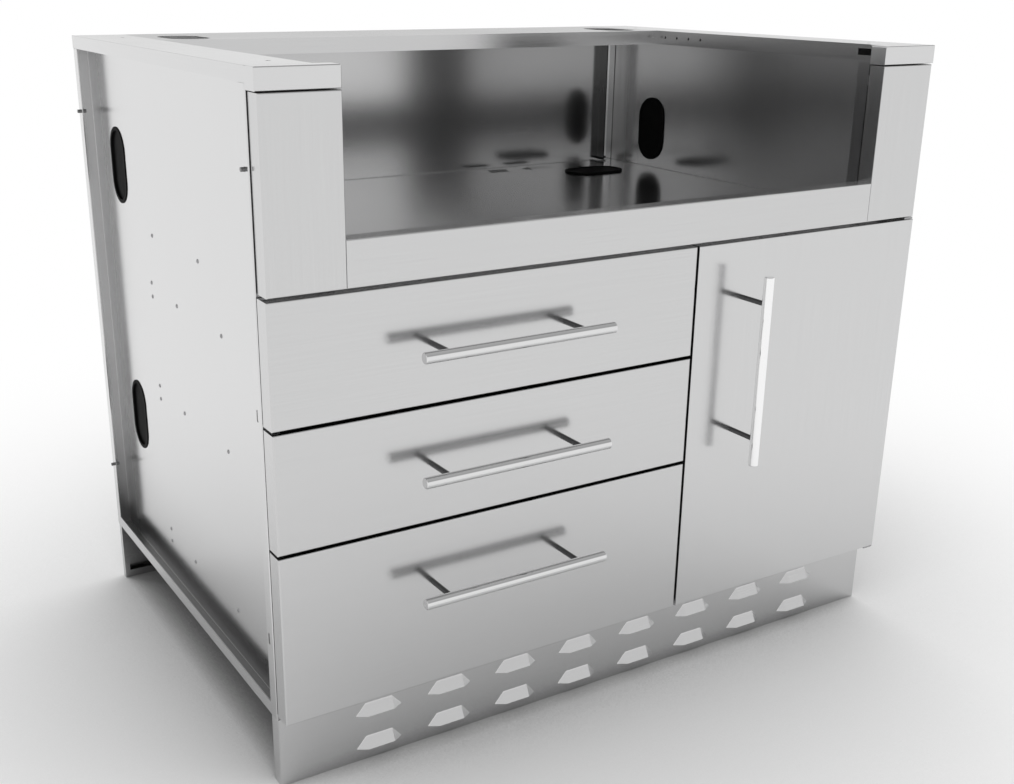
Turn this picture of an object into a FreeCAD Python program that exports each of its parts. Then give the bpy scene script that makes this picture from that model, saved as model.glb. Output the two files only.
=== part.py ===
import FreeCAD, Part
import os

# Grill base cabinet of an outdoor kitchen: folded steel carcass with an open grill bay above,
# three drawers at the left and a hinged door at the right. Millimetres, +Z up, front towards -Y.
doc = FreeCAD.newDocument("grill_base_cabinet")
sizes = doc.addObject("Spreadsheet::Sheet", "Sizes")

CELLS = []
SUB_PARTS = []
VECTOR = FreeCAD.Vector
TURN = {
    "x": FreeCAD.Rotation(VECTOR(0, 1, 0), 90),
    "y": FreeCAD.Rotation(VECTOR(1, 0, 0), -90),
    "z": FreeCAD.Rotation(),
}


class Size:
    """A length written as a formula over the cells of the sheet."""

    def __init__(self, formula):
        self.formula = formula

    def __add__(self, other):
        return combine(self, "+", other)

    def __sub__(self, other):
        return combine(self, "-", other)

    def __mul__(self, other):
        return combine(self, "*", other)

    def __truediv__(self, other):
        return combine(self, "/", other)

    def __neg__(self):
        return combine(-1, "*", self)


def as_size(item):
    """Takes a Size as it is and turns a plain count or factor into one."""
    if isinstance(item, Size):
        return item
    return Size(repr(float(item)))


def combine(first, sign, second):
    """Joins two lengths into one formula."""
    return Size("(" + as_size(first).formula + " " + sign + " " + as_size(second).formula + ")")


def root(item):
    """Square root of a size."""
    return Size("sqrt(" + item.formula + ")")


def lean_of(across, along):
    """Angle of a slope from its two sides, in degrees."""
    return Size("atan(" + (across / along).formula + ")")


def cell(alias, value):
    """Puts one number in the sheet under a name."""
    CELLS.append(alias)
    row = str(len(CELLS))
    sizes.set("A" + row, alias.replace("_", " "))
    sizes.set("B" + row, str(value))
    sizes.setAlias("B" + row, alias)
    return Size("Sizes." + alias)


def bind(item, values):
    """Ties the sizes of a feature to the sheet."""
    for name, size in values.items():
        item.setExpression(name, as_size(size).formula)


def put(item, turn, x, y, z):
    """Places a feature: fixed turn, position tied to the sheet."""
    item.Placement = FreeCAD.Placement(VECTOR(), turn)
    bind(item, {"Placement.Base.x": x, "Placement.Base.y": y, "Placement.Base.z": z})


def size_box(item, x, y, z):
    """Sizes a block from its lower and upper bound on each axis."""
    bind(item, {"Length": x[1] - x[0], "Width": y[1] - y[0], "Height": z[1] - z[0]})
    put(item, TURN["z"], x[0], y[0], z[0])
    return item


def size_rod(item, axis, x, y, z, radius, length):
    """Sizes a round bar from the middle of its lower end."""
    bind(item, {"Radius": radius, "Height": length})
    put(item, TURN[axis], x, y, z)
    return item


def keep(item, label):
    """Marks an object as one of the sub-parts of the cabinet."""
    item.Label = label
    SUB_PARTS.append(item)
    return item


class Piece:
    """One folded or turned piece, built up feature by feature in a body of its own."""

    def __init__(self, label):
        self.body = keep(doc.addObject("PartDesign::Body", label), label)
        self.label = label

    def feature(self, kind):
        item = self.body.newObject("PartDesign::" + kind, self.label + "_" + kind.lower())
        self.body.Tip = item
        return item

    def add(self, x, y, z):
        return size_box(self.feature("AdditiveBox"), x, y, z)

    def cut(self, x, y, z):
        return size_box(self.feature("SubtractiveBox"), x, y, z)

    def add_rod(self, axis, x, y, z, radius, length):
        return size_rod(self.feature("AdditiveCylinder"), axis, x, y, z, radius, length)

    def cut_rod(self, axis, x, y, z, radius, length):
        return size_rod(self.feature("SubtractiveCylinder"), axis, x, y, z, radius, length)

    def soften(self, base, faces, radius):
        """Rounds all edges of the named faces of a feature, as a brake leaves them."""
        item = self.feature("Fillet")
        item.Base = (base, faces)
        bind(item, {"Radius": radius})
        return item

    def wedge(self, kind, turn, at, base_x, base_z, ridge_x, ridge_z, near, far):
        """A hood: rectangle at the near plane drawn to an edge or a rectangle at the far plane."""
        item = self.feature(kind + "Wedge")
        bind(item, {"Xmin": base_x[0], "Xmax": base_x[1], "Zmin": base_z[0], "Zmax": base_z[1]})
        bind(item, {"X2min": ridge_x[0], "X2max": ridge_x[1], "Z2min": ridge_z[0], "Z2max": ridge_z[1]})
        bind(item, {"Ymin": near, "Ymax": far})
        put(item, turn, *at)
        return item

    def axis(self, role):
        for item in self.body.Origin.OriginFeatures:
            if item.Role == role:
                return item

    def repeat(self, originals, first, second):
        """Repeats features in a grid: (axis role, total length, count) for each direction."""
        item = self.feature("LinearPattern")
        item.Originals = originals
        item.Direction = (self.axis(first[0]), [""])
        item.Occurrences = first[2]
        bind(item, {"Length": first[1]})
        if second:
            item.Direction2 = (self.axis(second[0]), [""])
            item.Occurrences2 = second[2]
            bind(item, {"Length2": second[1]})
        return item

    def oblong(self, axis, along, centre, width, length, near, depth):
        """Cuts a long round-ended hole: axis it runs through, axis of its long side."""
        reach = (length - width) / 2
        half = {"x": width / 2, "y": width / 2, "z": width / 2}
        half[along] = reach
        low = {}
        high = {}
        for name in "xyz":
            low[name] = centre[name] - half[name] if name != axis else near
            high[name] = centre[name] + half[name] if name != axis else near + depth
        self.cut((low["x"], high["x"]), (low["y"], high["y"]), (low["z"], high["z"]))
        for sign in (-1, 1):
            spot = dict(centre)
            spot[axis] = near
            spot[along] = centre[along] + reach * sign
            self.cut_rod(axis, spot["x"], spot["y"], spot["z"], width / 2, depth)


def block(label, x, y, z):
    return size_box(doc.addObject("Part::Box", label), x, y, z)


def rod(label, axis, x, y, z, radius, length):
    return size_rod(doc.addObject("Part::Cylinder", label), axis, x, y, z, radius, length)


def fuse(label, items):
    item = doc.addObject("Part::MultiFuse", label)
    item.Shapes = items
    item.Refine = True
    return item


def carve(label, base, tools):
    """Takes one or more shapes out of a base shape."""
    tool = tools[0]
    if len(tools) > 1:
        tool = fuse(label + "_tool", tools)
    item = doc.addObject("Part::Cut", label)
    item.Base = base
    item.Tool = tool
    return item


def group(label, items):
    """Several separate solids of one kind kept as one sub-part."""
    item = doc.addObject("Part::Compound", label + "_set")
    item.Links = items
    return keep(item, label)


def stadium(label, axis, along, centre, width, length, near, depth):
    """A long round-ended plug, used for the rubber grommets."""
    reach = (length - width) / 2
    half = {"x": width / 2, "y": width / 2, "z": width / 2}
    half[along] = reach
    low = {}
    high = {}
    for name in "xyz":
        low[name] = centre[name] - half[name] if name != axis else near
        high[name] = centre[name] + half[name] if name != axis else near + depth
    items = [block(label + "_mid", (low["x"], high["x"]), (low["y"], high["y"]), (low["z"], high["z"]))]
    for sign in (-1, 1):
        spot = dict(centre)
        spot[axis] = near
        spot[along] = centre[along] + reach * sign
        items.append(rod(label + "_end", axis, spot["x"], spot["y"], spot["z"], width / 2, depth))
    return fuse(label, items)


# Overall box and sheet metal.
overall_width = cell("overall_width", 1016)
overall_height = cell("overall_height", 876.3)
overall_depth = cell("overall_depth", 762)
handle_projection = cell("handle_projection", 54)
sheet = cell("sheet_thickness", 1.2)
bend = cell("bend_radius", 1.6)
overcut = cell("overcut", 2)

# Carcass.
base_height = cell("base_height", 96.4)
body_setback = cell("body_setback", 28)
recess = cell("side_recess", 20)
lip = cell("lip_height", 18)
flange = cell("flange_width", 20)
rail_width = cell("side_rail_width", 76)
rail_lip = cell("rail_lip_height", 22)
shelf_depth = cell("rear_shelf_depth", 188)
tray_level = cell("tray_level", 634)
tray_upstand = cell("tray_upstand", 52)
header_height = cell("header_height", 28)
mullion_width = cell("mullion_width", 30)
angle_side = cell("angle_side", 55)
angle_leg = cell("angle_leg", 21)
angle_foot = cell("angle_foot", 20)
angle_gap = cell("angle_gap", 2)
kick_inset = cell("kick_inset", 1.6)
rear_kick_inset = cell("rear_kick_inset", 11)

# Fronts and fascia.
stile = cell("stile_width", 98)
opening_floor = cell("opening_floor", 690.4)
cap_height = cell("cap_height", 24.7)
cap_gap = cell("cap_gap", 1.5)
cap_depth = cell("cap_depth", 27)
fascia_depth = cell("fascia_depth", 25.5)
fascia_inset = cell("fascia_inset", 2.5)
fascia_rim = cell("fascia_rim", 12)
front_depth = cell("front_depth", 20)
drawer_skirt = cell("drawer_skirt_depth", 25.5)
door_skirt = cell("door_skirt_depth", 22)
front_inset = cell("front_inset", 1)
reveal = cell("reveal", 4)
split_level = cell("split_level", 633.3)
drawer_pitch = cell("drawer_pitch", 152.4)
fronts_bottom = cell("fronts_bottom", 104)
drawer_bay = cell("drawer_bay_width", 605.7)

# Openings for pipes and cables, with their rubber grommets.
hole_length = cell("hole_length", 103)
hole_width = cell("hole_width", 60)
hole_back = cell("hole_back", 118)
upper_hole_rise = cell("upper_hole_rise", 68)
lower_hole = cell("lower_hole_level", 322)
tray_hole_side = cell("tray_hole_side", 148)
shelf_hole_side = cell("shelf_hole_side", 128)
grommet_lip = cell("grommet_lip", 3.5)
grommet_wall = cell("grommet_wall", 2.5)
grommet_skin = cell("grommet_skin", 3.5)
web_setback = cell("grommet_web_setback", 1)

# Pressed louvres.
louvre_length = cell("louvre_length", 66)
louvre_ridge = cell("louvre_ridge", 38)
louvre_height = cell("louvre_height", 16)
louvre_rise = cell("louvre_rise", 8)
tray_louvre_rise = cell("tray_louvre_rise", 2.5)
louvre_pitch = cell("louvre_pitch", 105.2)
louvre_row_gap = cell("louvre_row_gap", 49)
louvre_low = cell("louvre_low_level", 18)
tray_louvre_pitch = cell("tray_louvre_pitch", 87)
tray_louvre_side = cell("tray_louvre_side", 216)
tray_louvre_back = cell("tray_louvre_back", 34)
LOUVRES_ACROSS = 8
LOUVRE_ROWS = 2
TRAY_LOUVRES = 2

# Drawer slides and boxes.
slide_length = cell("slide_length", 508)
slide_height = cell("slide_height", 45)
slide_depth = cell("slide_depth", 12.7)
slide_steel = cell("slide_steel", 1.2)
slide_play = cell("slide_play", 0.5)
slide_wrap = cell("slide_wrap", 7.9)
slide_rise = cell("slide_rise", 60)
slide_start = cell("slide_start", 3)
box_depth = cell("box_depth", 500)
box_below = cell("box_below_slide", 42)
box_above = cell("box_above_slide", 48)
deep_box_above = cell("deep_box_above_slide", 110)

# Handles.
bar_radius = cell("bar_radius", 7)
bar_length = cell("bar_length", 268)
bar_round = cell("bar_round", 1.5)
post_spacing = cell("post_spacing", 192)
post_radius = cell("post_radius", 3.5)
handle_drop = cell("handle_drop", 76.2)
deep_handle_drop = cell("deep_handle_drop", 82)
door_handle_side = cell("door_handle_side", 82)
door_handle_level = cell("door_handle_level", 457.4)

# Fasteners, pivots and small hardware.
screw_radius = cell("screw_radius", 2)
screw_head = cell("screw_head_radius", 3)
screw_head_height = cell("screw_head_height", 1.2)
post_screw_length = cell("post_screw_length", 14)
pin_radius = cell("joining_pin_radius", 2.5)
pin_neck = cell("joining_pin_neck", 3)
pin_reach = cell("joining_pin_reach", 4.5)
pin_tail = cell("joining_pin_tail", 8)
pin_collar = cell("joining_pin_collar", 4.5)
pin_drop = cell("joining_pin_drop", 107.3)
slot_level = cell("joining_slot_level", 491.6)
low_slot_level = cell("joining_low_level", 206)
slot_height = cell("joining_slot_height", 15)
slot_width = cell("joining_slot_width", 5)
front_pin_setback = cell("front_pin_setback", 11)
rear_pin_setback = cell("rear_pin_setback", 9)
pivot_side = cell("pivot_side", 9)
pivot_setback = cell("pivot_setback", 8)
pivot_radius = cell("pivot_radius", 3)
pivot_fit = cell("pivot_fit", 0.05)
bushing_radius = cell("bushing_radius", 6)
bushing_length = cell("bushing_length", 14)
bracket_steel = cell("bracket_steel", 2.4)
bracket_gap = cell("bracket_gap", 0.4)
bracket_leg = cell("bracket_leg", 40)
catch_side = cell("catch_side", 7.5)
catch_width = cell("catch_width", 18)
catch_height = cell("catch_height", 44)
catch_level = cell("catch_level", 380)
strike_steel = cell("strike_steel", 0.8)
small_gap = cell("small_gap", 0.3)
bumper_radius = cell("bumper_radius", 4.5)
clip_size = cell("clip_size", 14)

# Planes that many pieces share.
left = -overall_width / 2
right = overall_width / 2
face = handle_projection - overall_depth / 2
rear = overall_depth / 2
body_face = face + body_setback
back_face = rear - sheet
top = overall_height
zero = as_size(0)
web = recess + sheet
in_left = left + web
in_right = right - web
split = left + drawer_bay
split_left = split - sheet / 2
split_right = split + sheet / 2
open_left = left + stile
open_right = right - stile
tray_under = tray_level - sheet
header_low = tray_under - header_height
front_left = left + front_inset
front_right = right - front_inset
hole_y = rear - hole_back
upper_hole = tray_level + upper_hole_rise
pin_level = top - pin_drop
bar_axis = face - handle_projection + bar_radius
SIDES = (("left", -1), ("right", 1))


def span(sign, near, far):
    """Bounds in X of a zone measured inwards from the outer face of one side."""
    if sign < 0:
        return (left + near, left + far)
    return (right - far, right - near)


def reach(plane, sign, near, far):
    """Bounds in X of a zone measured from a plane towards one side."""
    if sign > 0:
        return (plane + near, plane + far)
    return (plane - far, plane - near)


# Slide levels, top to bottom; the third drawer is the deep one.
first_low = split_level - drawer_pitch
second_low = first_low - drawer_pitch
DRAWERS = (
    ("drawer_1", first_low + reveal / 2, split_level - reveal / 2, handle_drop, box_above),
    ("drawer_2", second_low + reveal / 2, first_low - reveal / 2, handle_drop, box_above),
    ("drawer_3", fronts_bottom, second_low - reveal / 2, deep_handle_drop, deep_box_above),
)
screw_first = cell("slide_screw_first", 200.5)
screw_second = cell("slide_screw_second", 369)
screw_third = cell("slide_screw_third", 475.5)
screw_pair = cell("slide_screw_pair", 10)
tray_screw_first = cell("tray_screw_first", 271)
tray_screw_second = cell("tray_screw_second", 456)
tray_screw_drop = cell("tray_screw_drop", 11)
SLIDE_SCREWS = (
    (screw_first, zero),
    (screw_second, zero),
    (screw_third, screw_pair),
    (screw_third, -screw_pair),
)
TRAY_SCREWS = (tray_screw_first, tray_screw_second)


def slide_level(drawer):
    return drawer[1] + slide_rise


def joining_spots():
    """Front and rear lip positions where neighbouring cabinets are joined."""
    front = body_face + front_pin_setback
    back = back_face - rear_pin_setback
    return ((front, pin_level), (back, pin_level), (back, low_slot_level))


# Side panels: pans with outward flanges and turned lips, open on the outside.
for name, sign in SIDES:
    piece = Piece(name + "_side_panel")
    shell = piece.add(span(sign, zero, web), (body_face, back_face), (base_height, top - sheet))
    piece.soften(shell, ["Face1" if sign < 0 else "Face2"], bend)
    piece.cut(
        span(sign, sheet, recess),
        (body_face + sheet, back_face - sheet),
        (base_height + sheet, top - sheet * 2),
    )
    piece.cut(
        span(sign, -overcut, sheet + small_gap),
        (body_face + lip, back_face - lip),
        (base_height + lip, top),
    )
    piece.cut(
        span(sign, -overcut, sheet),
        (body_face - overcut, back_face + overcut),
        (top - lip - small_gap, top),
    )
    for level in (upper_hole, lower_hole):
        centre = {"x": zero, "y": hole_y, "z": level}
        near = span(sign, recess - small_gap, web + small_gap)[0]
        piece.oblong("x", "z", centre, hole_width, hole_length, near, sheet + small_gap * 2)
    for y, z in joining_spots():
        near = span(sign, -small_gap, sheet + small_gap)[0]
        piece.cut_rod("x", near, y, z, pin_neck, sheet + small_gap * 2)
    for z in (slot_level, low_slot_level):
        spot = {"x": zero, "y": body_face + front_pin_setback, "z": z}
        near = span(sign, -small_gap, sheet + small_gap)[0]
        piece.oblong("x", "z", spot, slot_width, slot_height, near, sheet + small_gap * 2)
    near = span(sign, recess - small_gap, web + small_gap)[0]
    for y in TRAY_SCREWS:
        piece.cut_rod("x", near, face + y, tray_level - tray_screw_drop, screw_radius, sheet + small_gap * 2)
    if sign < 0:
        for drawer in DRAWERS:
            for y, shift in SLIDE_SCREWS:
                piece.cut_rod(
                    "x", near, face + y, slide_level(drawer) + shift, screw_radius, sheet + small_gap * 2
                )

# Back panel: lapped over the rear flanges of both sides, top edge turned forward.
piece = Piece("back_panel")
piece.add((left + kick_inset, right - kick_inset), (back_face, rear), (base_height, top - sheet))
piece.add((in_left, in_right), (rear - flange, rear), (top - sheet * 2, top - sheet))

# Floor panel: tray between the sides, edges turned up at the sides and the rear.
piece = Piece("floor_panel")
piece.add((in_left, in_right), (body_face, back_face), (base_height, base_height + flange))
piece.cut(
    (in_left + sheet, in_right - sheet),
    (body_face - overcut, back_face - sheet),
    (base_height + sheet, base_height + flange + overcut),
)

# Partition: pan with flanges towards the door side, notched for the header rail.
piece = Piece("partition")
piece.add(
    (split_left, split_left + mullion_width),
    (body_face, back_face - sheet),
    (base_height + sheet, tray_under),
)
piece.cut(
    (split_right, split_left + mullion_width + overcut),
    (body_face + sheet, back_face - sheet * 2),
    (base_height + sheet * 2, tray_under - sheet),
)
piece.cut(
    (split_left - overcut, split_left + mullion_width + overcut),
    (body_face - overcut, body_face + flange),
    (header_low, tray_under + overcut),
)
for drawer in DRAWERS:
    for y, shift in SLIDE_SCREWS:
        piece.cut_rod(
            "x", split_left - small_gap, face + y, slide_level(drawer) + shift,
            screw_radius, sheet + small_gap * 2,
        )

# Header rail: channel across the front under the grill tray.
piece = Piece("header_rail")
piece.add((in_left, in_right), (body_face, body_face + flange), (header_low, tray_under))
piece.cut(
    (in_left - overcut, in_right + overcut),
    (body_face + sheet, body_face + flange + overcut),
    (header_low + sheet, tray_under - sheet),
)

# Jambs: upright channels behind the fascia at both sides of the grill opening.
for name, sign in SIDES:
    piece = Piece(name + "_jamb")
    jamb_top = top - rail_lip - small_gap
    piece.add(span(sign, web, stile - sheet), (body_face, body_face + flange), (tray_level, jamb_top))
    piece.cut(
        span(sign, web + sheet, stile - sheet * 2),
        (body_face + sheet, body_face + flange + overcut),
        (tray_level - overcut, jamb_top + overcut),
    )

# Side top rails: top plate with turned-down lips, boxed cap at the front end.
RAIL_HOLES = 4
rail_hole_start = cell("rail_hole_start", 409)
rail_hole_pitch = cell("rail_hole_pitch", 29.8)
rail_hole_radius = cell("rail_hole_radius", 2.2)
rail_hole_drop = cell("rail_hole_drop", 10.5)
rail_slot_start = cell("rail_slot_start", 44)
rail_slot_length = cell("rail_slot_length", 27)
rail_slot_height = cell("rail_slot_height", 9)
top_hole_side = cell("top_hole_side", 48)
top_hole_front = cell("top_hole_front", 78)
top_hole_back = cell("top_hole_back", 91)
top_hole_radius = cell("top_hole_radius", 3)
for name, sign in SIDES:
    piece = Piece(name + "_top_rail")
    cap = piece.add(span(sign, zero, stile), (face, face + cap_depth), (top - cap_height, top))
    piece.soften(cap, ["Face3", "Face6"], bend)
    piece.cut(
        span(sign, sheet, stile - sheet),
        (face + sheet, face + cap_depth + overcut),
        (top - cap_height + sheet, top - sheet),
    )
    piece.add(span(sign, zero, rail_width), (face + cap_depth - sheet, rear), (top - sheet, top))
    piece.add(span(sign, zero, sheet), (face + cap_depth - sheet, rear), (top - lip, top))
    piece.add(
        span(sign, rail_width - sheet, rail_width),
        (body_face + sheet + small_gap, rear - flange - small_gap),
        (top - rail_lip, top),
    )
    corner = stile - rail_width
    wide = (zero, corner) if sign < 0 else (-corner, zero)
    edge = left + rail_width if sign < 0 else right - rail_width
    piece.wedge(
        "Additive", TURN["z"], (edge, face + cap_depth, top - sheet),
        wide, (zero, sheet), (zero, zero), (zero, sheet), zero, corner,
    )
    near = span(sign, rail_width - sheet - small_gap, rail_width + small_gap)
    for number in range(RAIL_HOLES):
        y = face + rail_hole_start + rail_hole_pitch * number
        piece.cut_rod("x", near[0], y, top - rail_hole_drop, rail_hole_radius, sheet + small_gap * 2)
    hole_x = span(sign, top_hole_side, top_hole_side)[0]
    for y in (face + top_hole_front, rear - top_hole_back):
        piece.cut_rod("z", hole_x, y, top - sheet - small_gap, top_hole_radius, sheet + small_gap * 2)
    slot_y = face + rail_slot_start
    slot_z = top - rail_hole_drop
    piece.cut(
        near,
        (slot_y, slot_y + rail_slot_length),
        (slot_z - rail_slot_height / 2, slot_z + rail_slot_height / 2),
    )

# Rear top shelf: plate behind the grill opening, front and ends turned down, two pipe holes.
piece = Piece("rear_top_shelf")
shelf_front = rear - shelf_depth
piece.add((left + rail_width, right - rail_width), (shelf_front, rear), (top - rail_lip, top))
piece.cut(
    (left + rail_width + sheet, right - rail_width - sheet),
    (shelf_front + sheet, rear + overcut),
    (top - rail_lip - overcut, top - sheet),
)
piece.cut(
    (left + rail_width - overcut, right - rail_width + overcut),
    (rear - flange - small_gap, rear + overcut),
    (top - rail_lip - overcut, top - sheet),
)
for x in (left + shelf_hole_side, right - shelf_hole_side):
    centre = {"x": x, "y": hole_y, "z": top}
    piece.oblong("z", "y", centre, hole_width, hole_length, top - sheet - small_gap, sheet + small_gap * 2)
lip_hole_side = cell("shelf_lip_hole_side", 86)
for x in (left + lip_hole_side, right - lip_hole_side):
    piece.cut_rod(
        "y", x, shelf_front - small_gap, top - rail_hole_drop, rail_hole_radius, sheet + small_gap * 2
    )

# Grill tray: floor of the grill bay, edges turned down, front upstand, pipe hole and two louvres.
piece = Piece("grill_tray")
piece.add((in_left, in_right), (body_face, back_face), (tray_level - flange, tray_level))
piece.cut(
    (in_left + sheet, in_right - sheet),
    (body_face - overcut, back_face - sheet),
    (tray_level - flange - overcut, tray_under),
)
piece.cut(
    (in_left - overcut, in_right + overcut),
    (body_face - overcut, body_face + flange + small_gap),
    (tray_level - flange - overcut, tray_under),
)
piece.cut(
    (split_left - small_gap, split_left + mullion_width + small_gap),
    (back_face - flange, back_face + overcut),
    (tray_level - flange - overcut, tray_under),
)
piece.add((open_left, open_right), (body_face, body_face + sheet), (tray_under, tray_level + tray_upstand))
tray_hole = {"x": right - tray_hole_side, "y": hole_y, "z": tray_level}
piece.oblong("z", "x", tray_hole, hole_width, hole_length, tray_under - small_gap, sheet + small_gap * 2)
for y in TRAY_SCREWS:
    for near in (in_left - small_gap, in_right - sheet - small_gap):
        piece.cut_rod("x", near, face + y, tray_level - tray_screw_drop, screw_radius, sheet + small_gap * 2)

half_slit = louvre_length / 2
half_ridge = louvre_ridge / 2
hood_wall = cell("hood_wall", 0.4)
hood_drop = cell("hood_drop", 0.6)
hood_inward = sheet + hood_wall
lean_axis = FreeCAD.Rotation(VECTOR(1, 0, 0), 1)


def louvre(piece, rise, lying, at):
    """One pressed hood, a leaning plate folded down to its long slit; the same form cuts the hollow under it."""
    slant = root(rise * rise + louvre_height * louvre_height)
    depth = rise * louvre_height / slant
    lift = (hood_inward * louvre_height + hood_drop * rise) / slant
    slip = (hood_inward * rise - hood_drop * louvre_height) / slant
    lean = lean_of(rise, louvre_height)
    fold = rise * rise / slant
    if lying:
        slip = -slip
        lean = lean_of(louvre_height, rise)
        fold = louvre_height * louvre_height / slant
    hoods = []
    for kind, near, low in (("Additive", zero, zero), ("Subtractive", lift, slip)):
        hood = piece.wedge(
            kind, lean_axis, at,
            (-half_ridge, half_ridge), (low, low + slant),
            (-half_slit, half_slit), (low + fold, low + fold), near, near + depth,
        )
        bind(hood, {"Placement.Rotation.Angle": -lean})
        hoods.append(hood)
    return hoods


first_louvre = right - tray_louvre_side - tray_louvre_pitch
ridge_y = back_face - tray_louvre_back - louvre_height
hoods = louvre(piece, tray_louvre_rise, True, (first_louvre, ridge_y, tray_level))
piece.repeat(hoods, ("X_Axis", tray_louvre_pitch, TRAY_LOUVRES), None)

# Bay angle: upright folded angle on the back panel near the right side, clear of the tray at its foot.
piece = Piece("bay_angle")
angle_left = right - angle_side
piece.add(
    (angle_left, angle_left + angle_foot),
    (back_face - angle_leg, back_face),
    (tray_level + angle_gap, top - rail_lip - small_gap),
)
piece.cut(
    (angle_left + sheet, angle_left + angle_foot + overcut),
    (back_face - angle_leg - overcut, back_face - sheet),
    (tray_level, top),
)

# Fascia: two stiles and the rail below the grill opening, pans with inward rims at the back.
fascia_low = split_level + reveal / 2
fascia_high = top - cap_height - cap_gap
FASCIA = (
    ("fascia_left", (left + fascia_inset, open_left), (fascia_low, fascia_high)),
    ("fascia_right", (open_right, right - fascia_inset), (fascia_low, fascia_high)),
    ("fascia_rail", (open_left, open_right), (fascia_low, opening_floor)),
)
for label, x, z in FASCIA:
    piece = Piece(label)
    shell = piece.add(x, (face, face + fascia_depth), z)
    piece.soften(shell, ["Face3"], bend)
    piece.cut(
        (x[0] + sheet, x[1] - sheet),
        (face + sheet, face + fascia_depth - sheet),
        (z[0] + sheet, z[1] - sheet),
    )
    piece.cut(
        (x[0] + fascia_rim, x[1] - fascia_rim),
        (face + fascia_depth - sheet * 2, face + fascia_depth + overcut),
        (z[0] + fascia_rim, z[1] - fascia_rim),
    )

# Spacer clips between the fascia rims and the carcass.
clip_end = cell("clip_end", 28)
clip_spread = cell("clip_spread", 328)
clips = []
clip_y = (face + fascia_depth, body_face)
for sign in (-1, 1):
    for z in (fascia_low + clip_end, fascia_high - clip_end):
        x = span(sign, stile - sheet - clip_size, stile - sheet * 2)
        clips.append(block("clip", x, clip_y, (z, z + clip_size)))
for sign in (-1, 0, 1):
    x = clip_spread * sign
    z = (opening_floor - fascia_rim, tray_level + tray_upstand)
    clips.append(block("clip", (x - clip_size, x + clip_size), clip_y, z))
group("fascia_clips", clips)

# Front kick panel: channel down to the floor with two rows of pressed louvres.
piece = Piece("front_kick")
kick_y = body_face + small_gap
piece.add((left + kick_inset, right - kick_inset), (kick_y, kick_y + flange), (zero, base_height))
piece.cut(
    (left + kick_inset + sheet, right - kick_inset - sheet),
    (kick_y + sheet, kick_y + flange + overcut),
    (sheet, base_height - sheet),
)
row_length = louvre_pitch * (LOUVRES_ACROSS - 1)
lip_y = kick_y - louvre_rise
hoods = louvre(piece, louvre_rise, False, (-row_length / 2, lip_y, louvre_low))
piece.repeat(hoods, ("X_Axis", row_length, LOUVRES_ACROSS), ("Z_Axis", louvre_row_gap, LOUVRE_ROWS))

# Rear kick panel: plain box section with long slots near the floor in its inner wall.
REAR_SLOTS = 8
rear_slot_length = cell("rear_slot_length", 70)
rear_slot_height = cell("rear_slot_height", 20)
rear_slot_low = cell("rear_slot_low", 12)
rear_slot_end = cell("rear_slot_end", 8)
piece = Piece("rear_kick")
kick_left = left + kick_inset
kick_right = right - kick_inset
rear_kick_y = rear - rear_kick_inset - sheet
piece.add((kick_left, kick_right), (rear_kick_y, rear), (zero, base_height))
piece.cut(
    (kick_left + sheet, kick_right - sheet),
    (rear_kick_y + sheet, back_face),
    (sheet, base_height - sheet),
)
slot = piece.cut(
    (kick_left + rear_slot_end, kick_left + rear_slot_end + rear_slot_length),
    (rear_kick_y - overcut, rear_kick_y + sheet + overcut),
    (rear_slot_low, rear_slot_low + rear_slot_height),
)
slot_run = kick_right - kick_left - rear_slot_end * 2 - rear_slot_length
piece.repeat([slot], ("X_Axis", slot_run, REAR_SLOTS), None)


lip_width = hole_width + grommet_lip * 2
lip_length = hole_length + grommet_lip * 2
clear_width = hole_width - grommet_wall * 2
clear_length = hole_length - grommet_wall * 2


def grommet(label, axis, along, centre, plane, inward):
    """Rubber plug of a pipe hole: neck in the sheet, a lip on the inside, a thin web set back from both faces."""

    def layer(name, width, length, near, far):
        low, high = reach(plane, inward, near, far)
        return stadium(label + name, axis, along, centre, width, length, low, high - low)

    full = sheet + grommet_skin
    web_near = sheet + web_setback
    neck = layer("_neck", hole_width, hole_length, zero, sheet)
    rim = layer("_lip", lip_width, lip_length, sheet, full)
    outer = layer("_hollow", clear_width, clear_length, -overcut, web_near)
    inner = layer("_hollow", clear_width, clear_length, web_near + sheet, full + overcut)
    return carve(label, fuse(label + "_body", [neck, rim]), [outer, inner])


# Plugs in the sides and the tray; the two holes of the rear shelf stay bare.
rings = []
for name, sign in SIDES:
    for level in (upper_hole, lower_hole):
        centre = {"x": zero, "y": hole_y, "z": level}
        outer_face = span(sign, recess, recess)[0]
        rings.append(grommet(name + "_grommet", "x", "z", centre, outer_face, -sign))
rings.append(grommet("tray_grommet", "z", "x", tray_hole, tray_under, 1))
group("grommets", rings)

# Joining pins: shouldered pins in the lips of both sides, for the next cabinet in the row.
pins = []
for name, sign in SIDES:
    for y, z in joining_spots():
        shank = span(sign, -pin_reach, pin_tail)
        neck = span(sign, zero, sheet)
        collar = span(sign, sheet, sheet * 2)
        pins.append(
            fuse("joining_pin", [
                rod("pin_shank", "x", shank[0], y, z, pin_radius, shank[1] - shank[0]),
                rod("pin_neck", "x", neck[0], y, z, pin_neck, sheet),
                rod("pin_collar", "x", collar[0], y, z, pin_collar, sheet),
            ])
        )
group("joining_pins", pins)


def panel_screw(label, plane, sign, y, z):
    """Screw through a sheet and the piece behind it; sign is the side the point goes to."""
    head = reach(plane, -sign, zero, screw_head_height)
    shank = reach(plane, sign, zero, sheet * 2)
    return fuse(label, [
        rod(label + "_head", "x", head[0], y, z, screw_head, screw_head_height),
        rod(label + "_shank", "x", shank[0], y, z, screw_radius, sheet * 2),
    ])


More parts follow.
